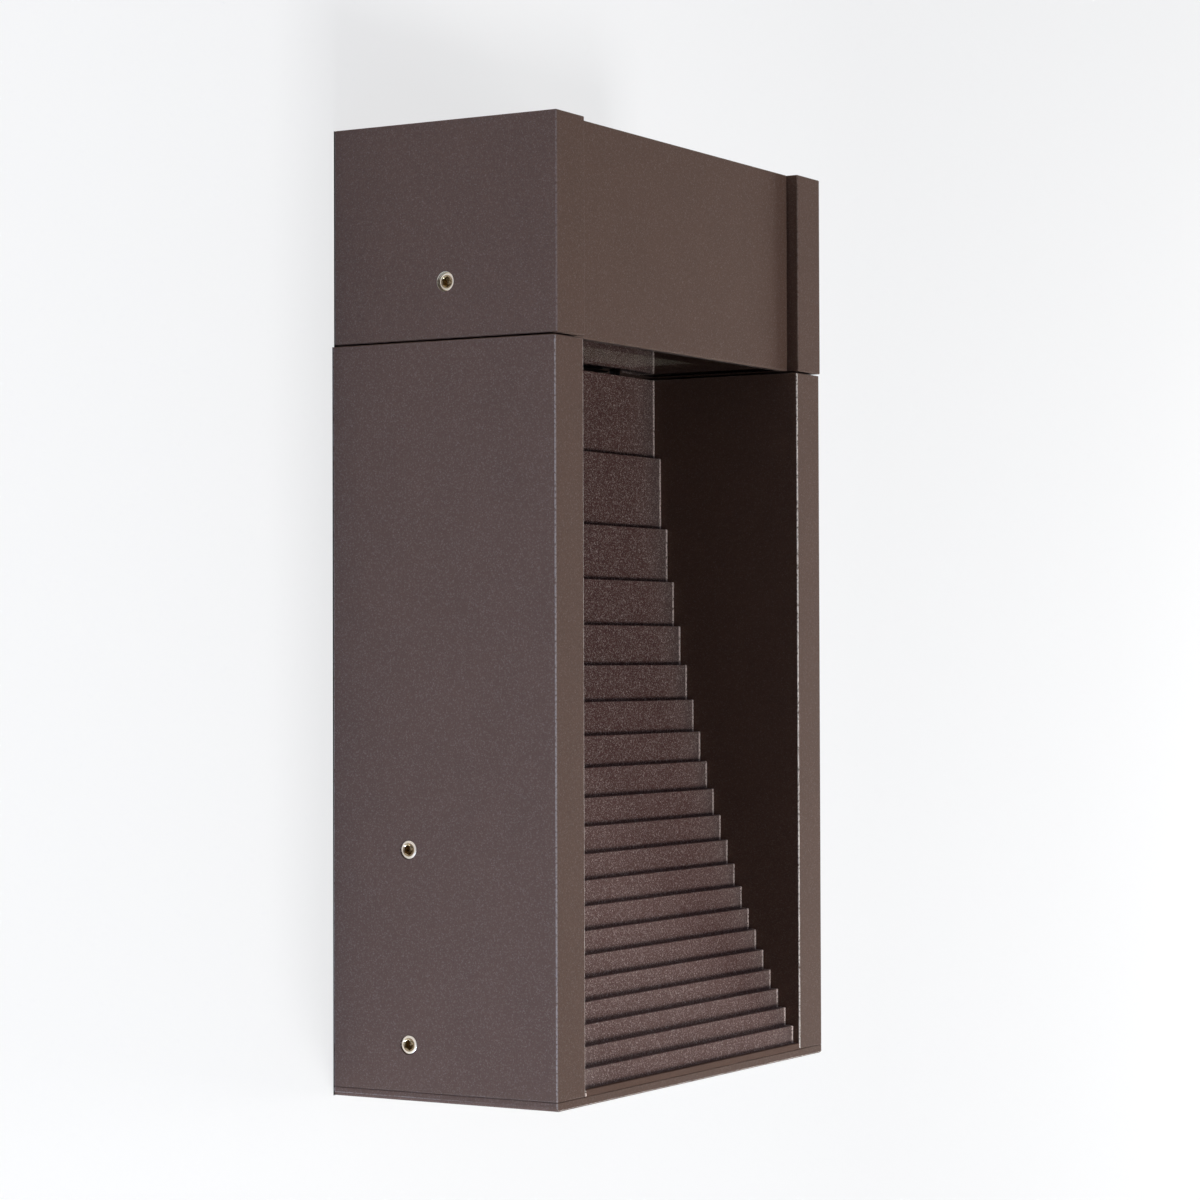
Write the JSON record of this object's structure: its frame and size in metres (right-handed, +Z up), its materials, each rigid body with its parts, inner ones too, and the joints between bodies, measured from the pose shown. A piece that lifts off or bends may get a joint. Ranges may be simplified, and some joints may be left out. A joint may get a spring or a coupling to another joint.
{
  "type": "outdoor wall light",
  "caption": "Box-shaped outdoor wall light: a lamp head shines down a recess between two cheeks onto a back wall of shallow steps on a hollow arc.",
  "frame": {"origin": "the middle of the face that meets the wall, at half the light's height", "axes": "+Y into the wall, so the light stands out towards -Y; +Z up; +X to the right when seen from the front"},
  "size_m": [0.176, 0.081, 0.3],
  "materials": {
    "bronze_coat": "satin fine-textured powder coat",
    "baffle_coat": "coarser sparkling powder coat",
    "zinc_sheet": "zinc-plated sheet steel",
    "screw_steel": "nickel-plated steel",
    "cast_aluminium": "as cast, lightly blasted",
    "lens_glass": "clear toughened glass",
    "mask_black": "matt black print on the glass",
    "seal_black": "silicone, matt",
    "gasket_rubber": "closed-cell sheet, matt",
    "diffuser_opal": "opal, frosted",
    "reflector_white": "glossy white",
    "board_white": "white solder mask",
    "chip_yellow": "clear resin over phosphor",
    "driver_case": "moulded",
    "terminal_plastic": "moulded",
    "clamp_brass": "machined",
    "wire_brown": "extruded insulation",
    "wire_earth": "extruded insulation",
    "wire_black": "extruded insulation"
  },
  "bodies": {
    "root": {"wall_bracket": "zinc_sheet", "wall_gasket": "gasket_rubber", "cable_grommet": "gasket_rubber", "earth_screw": "clamp_brass", "left_cheek": "bronze_coat", "right_cheek": "bronze_coat", "bottom_plate": "bronze_coat", "bottom_plate_screws": "screw_steel", "stepped_baffle": "baffle_coat", "baffle_screws": "screw_steel", "body_grub_screws": "screw_steel", "head_left_cheek": "bronze_coat", "head_right_cheek": "bronze_coat", "head_cover": "bronze_coat", "cover_screws": "screw_steel", "head_grub_screws": "screw_steel", "lamp_tray": "cast_aluminium", "tray_screws": "screw_steel", "led_board": "board_white", "led_chips": "chip_yellow", "led_board_screws": "screw_steel", "reflector": "reflector_white", "diffuser": "diffuser_opal", "lens_bezel": "mask_black", "lens_seal": "seal_black", "lens": "lens_glass", "driver_plate": "zinc_sheet", "driver_plate_screws": "screw_steel", "led_driver": "driver_case", "driver_screws": "screw_steel", "terminal_block": "terminal_plastic", "terminal_clamps": "clamp_brass", "terminal_block_screws": "screw_steel", "mains_leads": "wire_brown", "earth_lead": "wire_earth", "led_leads": "wire_black"}
  },
  "joints": []
}
